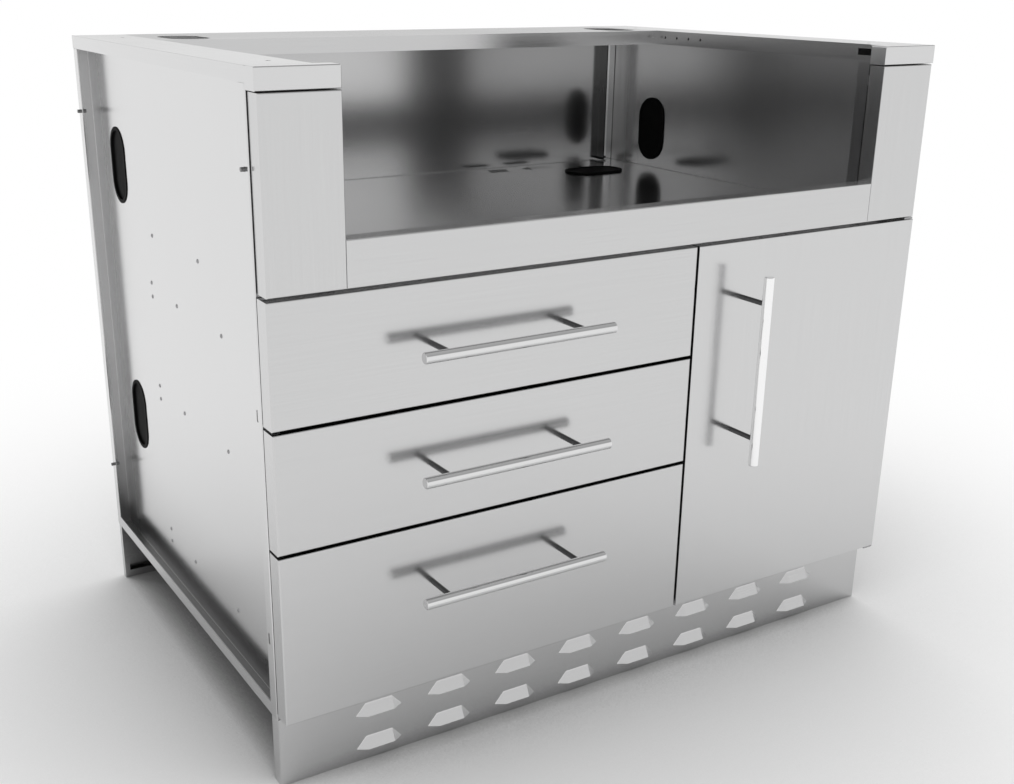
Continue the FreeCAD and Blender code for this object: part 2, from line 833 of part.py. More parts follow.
# Panel screws: slides to the left side and the partition, tray to both sides.
screws = []
for drawer in DRAWERS:
    for y, shift in SLIDE_SCREWS:
        level = slide_level(drawer) + shift
        screws.append(panel_screw("slide_screw", left + recess, 1, face + y, level))
        screws.append(panel_screw("slide_screw", split_right, -1, face + y, level))
for y in TRAY_SCREWS:
    level = tray_level - tray_screw_drop
    screws.append(panel_screw("tray_screw", left + recess, 1, face + y, level))
    screws.append(panel_screw("tray_screw", right - recess, -1, face + y, level))
group("panel_screws", screws)


def channel(label, plane, sign, plate, flanges, half, run, level):
    """One slide member: upright plate with a top and a bottom flange."""
    items = [block(label + "_plate", reach(plane, sign, *plate), run, (level - half, level + half))]
    for low in (level - half, level + half - slide_steel):
        items.append(block(label + "_flange", reach(plane, sign, *flanges), run, (low, low + slide_steel)))
    return fuse(label, items)


# Drawers: front pan with liner, welded box, bar handle, three-part slides at both sides.
outer_half = slide_height / 2
middle_half = outer_half - slide_steel - slide_play
inner_half = middle_half - slide_steel - slide_play
slide_run = (body_face + slide_start, body_face + slide_start + slide_length)
box_left = in_left + slide_depth
box_right = split_left - slide_depth
middle_near = slide_depth / 2 - slide_steel / 2
middle_far = slide_depth / 2 + slide_steel / 2


def bar_handle(label, axis, x, z, low_point):
    """Round bar on two thin posts, each held by a screw from behind the front."""
    bar = Piece(label + "_handle_bar")
    first = {"x": x, "z": z}
    first[axis] = low_point
    shaft = bar.add_rod(axis, first["x"], bar_axis, first["z"], bar_radius, bar_length)
    bar.soften(shaft, ["Face2", "Face3"], bar_round)
    posts = []
    bolts = []
    for sign in (-1, 1):
        spot = {"x": x, "z": z}
        spot[axis] = low_point + bar_length / 2 + post_spacing / 2 * sign
        bar.cut_rod("y", spot["x"], bar_axis, spot["z"], post_radius, bar_radius + overcut)
        stem = rod("post_stem", "y", spot["x"], bar_axis, spot["z"], post_radius, face - bar_axis)
        bolt_start = face + sheet - post_screw_length
        shank = (screw_radius, post_screw_length)
        head = (screw_head, screw_head_height)
        bore = rod("post_bore", "y", spot["x"], bolt_start, spot["z"], *shank)
        posts.append(carve("post", stem, [bore]))
        bolts.append(
            fuse("post_screw", [
                rod("post_screw_shank", "y", spot["x"], bolt_start, spot["z"], *shank),
                rod("post_screw_head", "y", spot["x"], face + sheet, spot["z"], *head),
            ])
        )
    group(label + "_handle_posts", posts)
    group(label + "_handle_screws", bolts)


def front_pan(label, x, z, skirt, handle_spots):
    """Outer pan of a drawer or the door with its screw holes, and the liner that closes it."""
    skin = Piece(label + "_front_skin")
    shell = skin.add(x, (face, face + skirt), z)
    skin.soften(shell, ["Face3"], bend)
    skin.cut(
        (x[0] + sheet, x[1] - sheet),
        (face + sheet, face + skirt + overcut),
        (z[0] + sheet, z[1] - sheet),
    )
    for spot_x, spot_z in handle_spots:
        skin.cut_rod("y", spot_x, face - overcut, spot_z, screw_radius, sheet + overcut * 2)
    liner = Piece(label + "_front_liner")
    liner.add(
        (x[0] + sheet, x[1] - sheet),
        (face + front_depth - sheet, face + front_depth),
        (z[0] + sheet, z[1] - sheet),
    )
    return skin


drawer_x = (front_left, split - reveal / 2)
drawer_middle = (drawer_x[0] + drawer_x[1]) / 2
for drawer in DRAWERS:
    label, low, high, drop, above = drawer
    level = slide_level(drawer)
    bar_level = high + reveal / 2 - drop
    spots = []
    for sign in (-1, 1):
        spots.append((drawer_middle + post_spacing / 2 * sign, bar_level))
    front_pan(label, drawer_x, (low, high), drawer_skirt, spots)
    bar_handle(label, "x", drawer_middle, bar_level, drawer_middle - bar_length / 2)
    tub = Piece(label + "_box")
    tub_y = (face + front_depth, face + front_depth + box_depth)
    tub.add((box_left, box_right), tub_y, (level - box_below, level + above))
    tub.cut(
        (box_left + sheet, box_right - sheet),
        (tub_y[0] + sheet, tub_y[1] - sheet),
        (level - box_below + sheet, level + above + overcut),
    )
    outers = []
    middles = []
    inners = []
    for plane, sign in ((in_left, 1), (split_left, -1)):
        member = channel(
            "slide_outer", plane, sign, (zero, slide_steel), (zero, slide_wrap),
            outer_half, slide_run, level,
        )
        holes = []
        for y, shift in SLIDE_SCREWS:
            near = reach(plane, sign, zero, slide_steel)[0]
            holes.append(rod("slide_hole", "x", near, face + y, level + shift, screw_radius, slide_steel))
        outers.append(carve("slide_outer_cut", member, holes))
        middles.append(
            channel(
                "slide_middle", plane, sign, (middle_near, middle_far),
                (slide_steel + slide_play * 2, slide_depth - slide_steel - slide_play * 2),
                middle_half, slide_run, level,
            )
        )
        inners.append(
            channel(
                "slide_inner", plane, sign, (slide_depth - slide_steel, slide_depth),
                (middle_far + slide_play, slide_depth), inner_half, slide_run, level,
            )
        )
    group(label + "_slide_outer", outers)
    group(label + "_slide_middle", middles)
    group(label + "_slide_inner", inners)

# Door: front pan with liner, upright bar handle, pivot bushings in the right corners.
door_x = (split + reveal / 2, front_right)
door_z = (fronts_bottom, split_level - reveal / 2)
door_bar_x = door_x[0] + door_handle_side
door_spots = []
for sign in (-1, 1):
    door_spots.append((door_bar_x, door_handle_level + post_spacing / 2 * sign))
pivot_x = right - pivot_side
pivot_y = face + pivot_setback
door_skin = front_pan("door", door_x, door_z, door_skirt, door_spots)
door_skin.cut_rod("z", pivot_x, pivot_y, door_z[0] - overcut, bushing_radius, sheet + overcut)
door_skin.cut_rod("z", pivot_x, pivot_y, door_z[1] - sheet, bushing_radius, sheet + overcut)
bar_handle("door", "z", door_bar_x, door_handle_level, door_handle_level - bar_length / 2)

brackets = []
bushings = []
pivot_x_range = (right - pivot_side * 2, right - front_inset)
plate_low = door_z[0] - bracket_gap - bracket_steel
plate_high = door_z[1] + bracket_gap
high_leg = plate_high + bracket_steel - bracket_leg
high_bush = door_z[1] - bushing_length
for base, leg_low, bush_low, pin_low in (
    (plate_low, plate_low, door_z[0], plate_low),
    (plate_high, high_leg, high_bush, high_bush),
):
    plate_y = (pivot_y - bushing_radius, body_face)
    leg_y = (body_face - bracket_steel, body_face)
    plate = block("bracket_plate", pivot_x_range, plate_y, (base, base + bracket_steel))
    leg = block("bracket_leg", pivot_x_range, leg_y, (leg_low, leg_low + bracket_leg))
    pin_length = bracket_steel + bracket_gap + bushing_length
    pin = rod("pivot_pin", "z", pivot_x, pivot_y, pin_low, pivot_radius, pin_length)
    brackets.append(fuse("bracket", [plate, leg, pin]))
    sleeve = rod("bushing_sleeve", "z", pivot_x, pivot_y, bush_low, bushing_radius, bushing_length)
    bore = rod("bushing_bore", "z", pivot_x, pivot_y, bush_low, pivot_radius + pivot_fit, bushing_length)
    bushings.append(carve("bushing", sleeve, [bore]))
group("door_pivot_brackets", brackets)
group("door_pivot_bushings", bushings)

# Catch on the mullion with its strike on the door liner.
catch_x = (split + catch_side, split + catch_side + catch_width)
catch_z = (catch_level - catch_height / 2, catch_level + catch_height / 2)
strike_back = face + front_depth + strike_steel
keep(block("catch_block", catch_x, (strike_back + small_gap, body_face), catch_z), "door_catch")
keep(block("strike_plate", catch_x, (face + front_depth, strike_back), catch_z), "door_strike")

# Rubber bumpers on the carcass front that the closed drawers and the door rest near.
bumpers = []
bumper_length = body_setback - front_depth - small_gap
bumper_spots = []
for drawer in DRAWERS:
    bumper_spots.append((left + recess / 2, slide_level(drawer)))
for z in (fronts_bottom + slide_rise, split_level - slide_rise):
    bumper_spots.append((split + mullion_width / 2, z))
for x, z in bumper_spots:
    bumpers.append(rod("bumper", "y", x, body_face - bumper_length, z, bumper_radius, bumper_length))
group("bumpers", bumpers)

doc.recompute()

broken = []
for item in doc.Objects:
    if "Invalid" in item.State or "Error" in item.State:
        broken.append(item.Name + " " + str(item.State))
for item in SUB_PARTS:
    if item.Shape.isNull() or not item.Shape.isValid() or not item.Shape.Solids:
        broken.append(item.Label + " has no valid solid")
if broken:
    raise RuntimeError("; ".join(broken))

os.makedirs("parts", exist_ok=True)
for item in SUB_PARTS:
    item.Shape.exportStep("parts/" + item.Label + ".step")
    print(item.Label, len(item.Shape.Solids), round(item.Shape.Volume))
print(len(SUB_PARTS), "sub-parts")
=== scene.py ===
import math

import bmesh
import bpy
from mathutils import Matrix, Vector


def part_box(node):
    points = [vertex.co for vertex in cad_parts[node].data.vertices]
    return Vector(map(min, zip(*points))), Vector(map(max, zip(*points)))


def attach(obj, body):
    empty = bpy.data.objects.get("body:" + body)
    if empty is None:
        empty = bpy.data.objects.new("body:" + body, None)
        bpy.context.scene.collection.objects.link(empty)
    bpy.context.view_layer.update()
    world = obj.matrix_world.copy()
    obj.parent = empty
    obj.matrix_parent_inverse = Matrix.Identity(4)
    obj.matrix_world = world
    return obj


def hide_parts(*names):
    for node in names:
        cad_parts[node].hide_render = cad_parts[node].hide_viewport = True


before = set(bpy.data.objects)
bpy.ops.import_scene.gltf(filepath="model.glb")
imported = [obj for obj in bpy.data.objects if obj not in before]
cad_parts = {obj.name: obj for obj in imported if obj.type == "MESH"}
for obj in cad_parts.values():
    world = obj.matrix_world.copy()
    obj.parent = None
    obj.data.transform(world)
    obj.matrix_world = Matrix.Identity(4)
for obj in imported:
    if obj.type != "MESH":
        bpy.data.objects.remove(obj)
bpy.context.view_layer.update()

scene = bpy.context.scene


# Side panels: two deep pans folded from 1.2 mm stainless sheet, with flanges and lips turned outwards.
# The web is polished with an upright grain; inside the bay, in the folds and low on the web the sheet carries
# painted shade, with painted light at the rear of the bay.
# Both pans carry the rest of the carcass on screws and spot welds.
def wire(tree, kind, sockets=None, **settings):
    """Adds one node to a tree; a socket takes a plain value or another node's output."""
    node = tree.nodes.new(kind)
    for name, value in settings.items():
        setattr(node, name, value)
    for key, value in (sockets or {}).items():
        if isinstance(value, bpy.types.NodeSocket):
            tree.links.new(value, node.inputs[key])
        else:
            node.inputs[key].default_value = value
    return node


def reckon(tree, operation, *terms):
    """Result of one arithmetic node."""
    return wire(tree, "ShaderNodeMath", dict(enumerate(terms)), operation=operation).outputs["Value"]


def spread(tree, value, span, ends, **settings):
    """A value taken from one span to another."""
    sockets = {
        "Value": value, "From Min": span[0], "From Max": span[1], "To Min": ends[0], "To Max": ends[1],
    }
    return wire(tree, "ShaderNodeMapRange", sockets, **settings).outputs["Result"]


def unevenness(tree, place, scale, detail):
    """Fine noise over a surface."""
    return wire(tree, "ShaderNodeTexNoise", {"Vector": place, "Scale": scale, "Detail": detail}).outputs["Fac"]


def two_tone(tree, mix, tint, stops, scales):
    """Colours between a darker and a lighter shade of one tint."""
    ramp = wire(tree, "ShaderNodeValToRGB", {"Fac": mix})
    for stop, position, scale in zip(ramp.color_ramp.elements, stops, scales):
        stop.position = position
        stop.color = [min(1.0, value * scale) for value in tint] + [1.0]
    return ramp.outputs["Color"]


def blank_finish(name):
    """A new material, its tree, its shader and the place on the piece."""
    material = bpy.data.materials.new(name)
    material.use_nodes = True
    tree = material.node_tree
    place = wire(tree, "ShaderNodeTexCoord").outputs["Object"]
    return material, tree, tree.nodes["Principled BSDF"], place


usual_noise = (0.3, 0.7)


def polished_sheet(name, tint, dullness, grain_axis, bite=0.03):
    """Stainless sheet: bright metal under a fine polishing grain and faint handling marks."""
    cells_across = 2600.0
    cells_along = 7.0
    groove = 0.0002
    streak_noise = (0.25, 0.75)
    handling = (-0.012, 0.015)
    darker, lighter = 1.0 - bite * 0.8, 1.0 + bite * 0.7
    smoother, rougher = dullness - bite * 0.7, dullness + bite * 0.7
    material, tree, shader, place = blank_finish(name)
    shader.inputs["Metallic"].default_value = 1.0
    stretch = [cells_across, cells_across, cells_across]
    stretch["xyz".index(grain_axis)] = cells_along
    drawn = wire(tree, "ShaderNodeMapping", {"Vector": place, "Scale": stretch}).outputs["Vector"]
    grain = unevenness(tree, drawn, scale=1.0, detail=2.0)
    marks = unevenness(tree, place, scale=5.0, detail=4.0)
    shades = two_tone(tree, grain, tint, usual_noise, (darker, lighter))
    tree.links.new(shades, shader.inputs["Base Color"])
    streaks = spread(tree, grain, streak_noise, (smoother, rougher))
    clouds = spread(tree, marks, usual_noise, handling)
    tree.links.new(reckon(tree, "ADD", streaks, clouds), shader.inputs["Roughness"])
    bump = wire(tree, "ShaderNodeBump", {"Height": grain, "Strength": bite, "Distance": groove})
    tree.links.new(bump.outputs["Normal"], shader.inputs["Normal"])
    return material


def painted_light_and_joint_zone(material, zone, shade, duller=0.0, soft=0.0005):
    """Paints light and shade into one zone of a sheet, as another shade and dullness.

    The zone is bounded per axis, X to both sides alike, and soft is half the width of its edge.
    A shade below one is painted shade and above one painted light; thin zones at joints draw dark joint lines.
    """
    tree = material.node_tree
    shader = tree.nodes["Principled BSDF"]
    place = wire(tree, "ShaderNodeTexCoord").outputs["Object"]
    parts = wire(tree, "ShaderNodeSeparateXYZ", {"Vector": place}).outputs
    spots = {"x": reckon(tree, "ABSOLUTE", parts["X"]), "y": parts["Y"], "z": parts["Z"]}
    inside = None
    for axis, (low, high) in zone.items():
        for bound, ends in ((low, (0.0, 1.0)), (high, (1.0, 0.0))):
            if bound is None:
                continue
            edge = (bound - soft, bound + soft)
            step = spread(tree, spots[axis], edge, ends, interpolation_type="SMOOTHSTEP")
            inside = step if inside is None else reckon(tree, "MULTIPLY", inside, step)
    colour = shader.inputs["Base Color"].links[0].from_socket
    dim = reckon(tree, "MULTIPLY_ADD", inside, shade - 1.0, 1.0)
    dimmed = wire(tree, "ShaderNodeVectorMath", {0: colour, "Scale": dim}, operation="SCALE")
    tree.links.new(dimmed.outputs["Vector"], shader.inputs["Base Color"])
    polish = shader.inputs["Roughness"].links[0].from_socket
    tree.links.new(reckon(tree, "MULTIPLY_ADD", inside, duller, polish), shader.inputs["Roughness"])


def finish(material, *names):
    """Puts a finish on pieces of the model."""
    for name in names:
        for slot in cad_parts[name].material_slots:
            slot.material = material


sheet = 0.0012
half_sheet = sheet / 2
past_fold = 0.0003
crisp = 0.0002
corner_seam = 0.0016
rail_seam = 0.0008
rear_strip = 0.0548
lower_strip = 0.0836
tray_edge = 0.02
low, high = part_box("right_side_panel")
web_inner = low[0] + half_sheet
web_outer = low[0] + sheet + past_fold
lip_inner = high[0] - sheet - past_fold
bottom_flange = low[2] + sheet + past_fold
web_foot = low[2] + lower_strip
bay_rear = high[1] - rear_strip
rear_corner = (high[1] - corner_seam, high[1] + half_sheet)
low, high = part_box("grill_tray")
tray_joint = (low[2] + tray_edge, low[2] + tray_edge + sheet)
low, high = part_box("rear_top_shelf")
rail_underside = low[2] - rail_seam
bay_side = {"x": (None, web_inner)}
folds = {"x": (web_outer, lip_inner)}
side_sheet = polished_sheet("side_sheet", tint=(0.67, 0.67, 0.672), dullness=0.17, grain_axis="z")
# Inside the bay: painted shade, darkest under the rail, painted light towards the rear, and thin dark joint
# lines at the tray and the rear corner.
painted_light_and_joint_zone(side_sheet, bay_side, shade=0.74)
painted_light_and_joint_zone(side_sheet, {**bay_side, "z": (rail_underside, None)}, shade=0.23, duller=0.2)
painted_light_and_joint_zone(side_sheet, {**bay_side, "y": (bay_rear, None)}, shade=1.18, duller=0.25, soft=0.03)
painted_light_and_joint_zone(side_sheet, {**bay_side, "z": tray_joint}, shade=0.8, duller=0.1)
painted_light_and_joint_zone(side_sheet, {**bay_side, "y": rear_corner}, shade=0.35, duller=0.2)
# Painted shade in the folds and on the bottom flange, and painted shade towards the foot of the whole pan.
painted_light_and_joint_zone(side_sheet, folds, shade=0.66, duller=0.05, soft=crisp)
painted_light_and_joint_zone(side_sheet, {**folds, "z": (None, bottom_flange)}, shade=0.7, duller=0.05, soft=crisp)
painted_light_and_joint_zone(side_sheet, {"z": (None, web_foot)}, shade=0.74, duller=0.02, soft=0.1)
finish(side_sheet, "left_side_panel", "right_side_panel")


# Inner carcass: back, floor, partition, header rail and the jambs behind the fascia.
# All are bent from the same stainless sheet and spot-welded to the side pans; their darker tints inside the bay
# are painted shade.
faint = 0.01
# Painted shade: the inner pieces and the jambs take darker tints than the outer sheets.
inner_sheet = polished_sheet("inner_sheet", tint=(0.42, 0.42, 0.422), dullness=0.26, grain_axis="x")
finish(inner_sheet, "floor_panel", "partition", "header_rail")
jamb_sheet = polished_sheet("jamb_sheet", tint=(0.3, 0.3, 0.302), dullness=0.22, grain_axis="z", bite=faint)
finish(jamb_sheet, "left_jamb", "right_jamb")
low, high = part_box("back_panel")
back_inner = {"y": (None, high[1] - half_sheet)}
back_sheet = polished_sheet("back_sheet", tint=(0.64, 0.64, 0.642), dullness=0.17, grain_axis="x", bite=faint)
# Painted shade on the back panel's face into the bay, and a thin dark joint line at the tray.
painted_light_and_joint_zone(back_sheet, back_inner, shade=0.82)
painted_light_and_joint_zone(back_sheet, {**back_inner, "z": tray_joint}, shade=0.8, duller=0.1)
finish(back_sheet, "back_panel")


# Kick panels: the louvred front one and the slotted rear one, pressed from sheet.
# They stand on the ground and carry the cabinet; their grain runs along the row of louvres.
kick_depth = 0.02
low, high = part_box("front_kick")
louvre_root = high[1] - kick_depth - half_sheet
kick_sheet = polished_sheet("kick_sheet", tint=(0.59, 0.59, 0.592), dullness=0.2, grain_axis="x")
# Painted shade: the louvres are toned darker than the face of the kick.
painted_light_and_joint_zone(kick_sheet, {"y": (None, louvre_root)}, shade=0.9, duller=0.05)
finish(kick_sheet, "front_kick")
rear_kick_sheet = polished_sheet("rear_kick_sheet", tint=(0.5, 0.5, 0.502), dullness=0.24, grain_axis="x")
finish(rear_kick_sheet, "rear_kick")


# Grill tray: the floor of the grill bay, a shallow pan, its edges turned down and its front turned up.
# It is rolled sheet, screwed to both side pans, with a pipe hole and two pressed louvres.
tray_sheet = polished_sheet("tray_sheet", tint=(0.55, 0.55, 0.552), dullness=0.18, grain_axis="x", bite=faint)
finish(tray_sheet, "grill_tray")


# Bay angle: an upright strip of sheet folded to an angle, its foot spot-welded to the back panel.
# Its leg stands out into the bay near the right side and stops short of the tray.
cut_edge = 0.0008
end_shade = 0.0045
lower_run = 0.124
low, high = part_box("bay_angle")
leg_face = low[0] + half_sheet
leg_edge = low[1] + cut_edge
lower_end = low[2] + end_shade
lower_part = low[2] + lower_run
angle_sheet = polished_sheet("angle_sheet", tint=(0.9, 0.9, 0.902), dullness=0.2, grain_axis="z", bite=faint)
# Painted light and shade: a bright tint, with the lower part, the leg's left face, its front edge and its foot
# painted dark.
painted_light_and_joint_zone(angle_sheet, {"z": (None, lower_part)}, shade=0.88, duller=0.05, soft=0.08)
painted_light_and_joint_zone(angle_sheet, {"x": (None, leg_face)}, shade=0.12, duller=0.05)
painted_light_and_joint_zone(angle_sheet, {"y": (None, leg_edge)}, shade=0.1, duller=0.2, soft=crisp)
painted_light_and_joint_zone(angle_sheet, {"z": (None, lower_end)}, shade=0.05, duller=0.2)
finish(angle_sheet, "bay_angle")


# Top rails and rear shelf: channel-shaped rails that frame the grill opening, lips turned down inside.
# The side rails end in boxed caps at the front; everything is polished like the fronts.
top_skin = 0.0004
plate_skin = 0.0011
cap_wall = 0.001
low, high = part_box("fascia_right")
behind_cap = (high[1] + cap_wall, None)
low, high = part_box("rear_top_shelf")
lip_face = high[0]
low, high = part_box("right_top_rail")
rail_top = high[2] - top_skin
lip_inner_face = {"x": (None, lip_face + half_sheet), "y": behind_cap}
hollow = {
    "x": (lip_face + sheet + crisp, high[0] - sheet - crisp), "y": behind_cap,
    "z": (None, high[2] - plate_skin),
}
rail_sheet = polished_sheet("rail_sheet", tint=(0.65, 0.65, 0.652), dullness=0.18, grain_axis="y")
# Painted shade: the rails' top a little darker, the inner lips darker and the hollow under the top plate near
# black.
painted_light_and_joint_zone(rail_sheet, {"z": (rail_top, None)}, shade=0.75, duller=0.03, soft=0.0003)
painted_light_and_joint_zone(rail_sheet, lip_inner_face, shade=0.47, duller=0.05)
painted_light_and_joint_zone(rail_sheet, hollow, shade=0.25, duller=0.15)
finish(rail_sheet, "left_top_rail", "right_top_rail")
edge_tint = (0.68, 0.68, 0.68, 1.0)
shelf_sheet = polished_sheet("shelf_sheet", tint=(0.57, 0.57, 0.572), dullness=0.2, grain_axis="x")
shelf_sheet.node_tree.nodes["Principled BSDF"].inputs["Specular Tint"].default_value = edge_tint
finish(shelf_sheet, "rear_top_shelf")


# Fascia: two stiles and a bottom rail round the open front of the grill bay.
# Folded pans with rounded front edges, clipped to the jambs on small spacer clips.
side_skin = 0.0005
low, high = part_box("fascia_right")
opening_side = low[0] + side_skin
stile_top = high[2] - past_fold
stile_sheet = polished_sheet("stile_sheet", tint=(0.6, 0.6, 0.602), dullness=0.17, grain_axis="z")
# Painted shade: the stiles' sides into the opening and their top flange under the cap are toned dark.
painted_light_and_joint_zone(stile_sheet, {"x": (None, opening_side)}, shade=0.7, duller=0.05)
painted_light_and_joint_zone(stile_sheet, {"z": (stile_top, None)}, shade=0.2, duller=0.2, soft=crisp)
finish(stile_sheet, "fascia_left", "fascia_right")
front_sheet = polished_sheet("front_sheet", tint=(0.6, 0.6, 0.602), dullness=0.17, grain_axis="x")
finish(front_sheet, "fascia_rail")


def plain_metal(name, tint, dullness, speck):
    """Small turned, stamped or plated hardware: even metal with a fine mottled skin."""
    material, tree, shader, place = blank_finish(name)
    shader.inputs["Metallic"].default_value = 1.0
    mottle = unevenness(tree, place, scale=speck, detail=3.0)
    shades = two_tone(tree, mottle, tint, usual_noise, (0.88, 1.08))
    tree.links.new(shades, shader.inputs["Base Color"])
    wear = spread(tree, mottle, usual_noise, (dullness - 0.04, dullness + 0.05))
    tree.links.new(wear, shader.inputs["Roughness"])
    return material


fastener_steel = plain_metal("fastener_steel", tint=(0.34, 0.34, 0.345), dullness=0.32, speck=700.0)
finish(fastener_steel, "fascia_clips")


# Pipe-hole plugs: black moulded rubber plugs in the holes of the sides and the tray.
# Each grips the hole with a short neck between a low outer bead and a rounded lip inside,
# and closes it with a thin web that is cut when a hose is led through.
def moulded_black(name, tint, dullness):
    """Black rubber or plastic with a fine moulded skin."""
    material, tree, shader, place = blank_finish(name)
    shader.inputs["Specular IOR Level"].default_value = 0.04
    skin = unevenness(tree, place, scale=900.0, detail=3.0)
    bloom = unevenness(tree, place, scale=35.0, detail=4.0)
    shades = two_tone(tree, bloom, tint, (0.35, 0.75), (0.7, 1.5))
    tree.links.new(shades, shader.inputs["Base Color"])
    wear = spread(tree, bloom, usual_noise, (dullness - 0.06, dullness + 0.06))
    tree.links.new(wear, shader.inputs["Roughness"])
    bump = wire(tree, "ShaderNodeBump", {"Height": skin, "Strength": 0.15, "Distance": 0.0002})
    tree.links.new(bump.outputs["Normal"], shader.inputs["Normal"])
    return material


def solids_of(node):
    """Lowest and highest corner of each separate solid of a node, in a fixed order."""
    shape = bmesh.new()
    shape.from_mesh(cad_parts[node].data)
    bmesh.ops.remove_doubles(shape, verts=shape.verts, dist=1e-6)
    waiting = set(shape.verts)
    boxes = []
    while waiting:
        group = [waiting.pop()]
        for vert in group:
            for edge in vert.link_edges:
                other = edge.other_vert(vert)
                if other in waiting:
                    waiting.remove(other)
                    group.append(other)
        lowest = Vector([min(vert.co[axis] for vert in group) for axis in range(3)])
        highest = Vector([max(vert.co[axis] for vert in group) for axis in range(3)])
        boxes.append((lowest, highest))
    shape.free()
    return sorted(boxes, key=lambda box: [round(value, 4) for value in (*box[0], *box[1])])


def maker(name, sizes):
    """An empty node tree with one named input per size, and the outputs that carry them."""
    tree = bpy.data.node_groups.new(name, "GeometryNodeTree")
    tree.interface.new_socket("Spots", in_out="INPUT", socket_type="NodeSocketGeometry")
    for label, value in sizes.items():
        kind = "NodeSocketInt" if isinstance(value, int) else "NodeSocketFloat"
        tree.interface.new_socket(label, in_out="INPUT", socket_type=kind)
    tree.interface.new_socket("Piece", in_out="OUTPUT", socket_type="NodeSocketGeometry")
    return tree, tree.nodes.new("NodeGroupInput").outputs


def sum_of(tree, first, second, factor=1.0):
    """First size plus a factor times the second one."""
    return reckon(tree, "MULTIPLY_ADD", second, factor, first)


def vector_of(tree, x, y, z):
    """Three sizes as one vector."""
    return wire(tree, "ShaderNodeCombineXYZ", {"X": x, "Y": y, "Z": z}).outputs["Vector"]


def moved(tree, geometry, place):
    """The geometry taken to another place."""
    return wire(tree, "GeometryNodeTransform", {"Geometry": geometry, "Translation": place}).outputs["Geometry"]


def join_of(tree, parts):
    """All the parts as one geometry."""
    join = tree.nodes.new("GeometryNodeJoinGeometry")
    for part in parts:
        tree.links.new(part, join.inputs["Geometry"])
    return join.outputs["Geometry"]


def closing(tree, geometry, material):
    """Last nodes of a tree: real mesh, smooth rounds with sharp corners, the finish."""
    corner = 0.7
    whole = wire(tree, "GeometryNodeRealizeInstances", {"Geometry": geometry}).outputs["Geometry"]
    angle = wire(tree, "GeometryNodeInputMeshEdgeAngle").outputs["Unsigned Angle"]
    gentle = wire(tree, "FunctionNodeCompare", {0: angle, 1: corner}, operation="LESS_THAN")
    for domain, smooth in (("FACE", True), ("EDGE", gentle.outputs["Result"])):
        sockets = {"Geometry": whole, "Shade Smooth": smooth}
        whole = wire(tree, "GeometryNodeSetShadeSmooth", sockets, domain=domain).outputs["Geometry"]
    painted = wire(tree, "GeometryNodeSetMaterial", {"Geometry": whole, "Material": material})
    wire(tree, "NodeGroupOutput", {"Piece": painted.outputs["Geometry"]})


def grown(name, tree, sizes, points, edges, aims):
    """Runs a tree once over its points or edges and keeps the result as a plain mesh."""
    spots = bpy.data.meshes.new(name + "_spots")
    spots.from_pydata(points, edges, [])
    for label, vectors in aims.items():
        layer = spots.attributes.new(label, "FLOAT_VECTOR", "POINT")
        for item, vector in zip(layer.data, vectors):
            item.vector = vector
    piece = bpy.data.objects.new(name, spots)
    scene.collection.objects.link(piece)
    run = piece.modifiers.new("run", "NODES")
    run.node_group = tree
    for item in tree.interface.items_tree:
        if item.name in sizes:
            run[item.identifier] = sizes[item.name]
    graph = bpy.context.evaluated_depsgraph_get()
    made = bpy.data.meshes.new_from_object(piece.evaluated_get(graph), depsgraph=graph)
    piece.modifiers.remove(run)
    piece.data = made
    bpy.data.meshes.remove(spots)
    skin = bmesh.new()
    skin.from_mesh(made)
    bmesh.ops.recalc_face_normals(skin, faces=skin.faces)
    skin.to_mesh(made)
    skin.free()
    made.name = name
    return piece


def rounded_oblong(tree, length, width, radius, count):
    """Oblong loop in the XY plane with its corners rounded."""
    loop = wire(tree, "GeometryNodeCurvePrimitiveQuadrilateral", {"Width": length, "Height": width})
    bend = {"Curve": loop.outputs["Curve"], "Radius": radius, "Count": count, "Limit Radius": True}
    return wire(tree, "GeometryNodeFilletCurve", bend, mode="POLY").outputs["Curve"]


def oblong_path(tree, length, width):
    """Long round-ended loop in the XY plane."""
    return rounded_oblong(tree, length, width, sum_of(tree, 0.0, width, 0.4999), 16)


def ring_along(tree, path, across, tall, round_off, level):
    """A band of rounded section that follows a loop, with its foot at a level."""
    section = rounded_oblong(tree, across, tall, round_off, 4)
    band = wire(tree, "GeometryNodeCurveToMesh", {"Curve": path, "Profile Curve": section}).outputs["Mesh"]
    return moved(tree, band, vector_of(tree, 0.0, 0.0, sum_of(tree, level, tall, 0.5)))


rubber = moulded_black("black_rubber_skin", tint=(0.004, 0.004, 0.004), dullness=0.55)
plug_sizes = {
    "Hole length": 0.103, "Hole width": 0.06, "Lip reach": 0.0035, "Lip height": 0.0035, "Lip round": 0.0012,
    "Bead reach": 0.003, "Bead height": 0.0012, "Bead round": 0.0005,
    "Neck wall": 0.0025, "Sheet": sheet, "Web setback": 0.001, "Web thickness": 0.0012,
}
plug_tree, size = maker("pipe_hole_plug", plug_sizes)
clear_length = sum_of(plug_tree, size["Hole length"], size["Neck wall"], -2.0)
clear_width = sum_of(plug_tree, size["Hole width"], size["Neck wall"], -2.0)
neck_path = oblong_path(
    plug_tree,
    sum_of(plug_tree, size["Hole length"], size["Neck wall"], -1.0),
    sum_of(plug_tree, size["Hole width"], size["Neck wall"], -1.0),
)
lip_across = sum_of(plug_tree, size["Neck wall"], size["Lip reach"])
lip_path = oblong_path(
    plug_tree, sum_of(plug_tree, clear_length, lip_across), sum_of(plug_tree, clear_width, lip_across),
)
bead_across = sum_of(plug_tree, size["Neck wall"], size["Bead reach"])
bead_path = oblong_path(
    plug_tree, sum_of(plug_tree, clear_length, bead_across), sum_of(plug_tree, clear_width, bead_across),
)
neck_round = 0.0001
bead_low = sum_of(plug_tree, 0.0, size["Bead height"], -1.0)
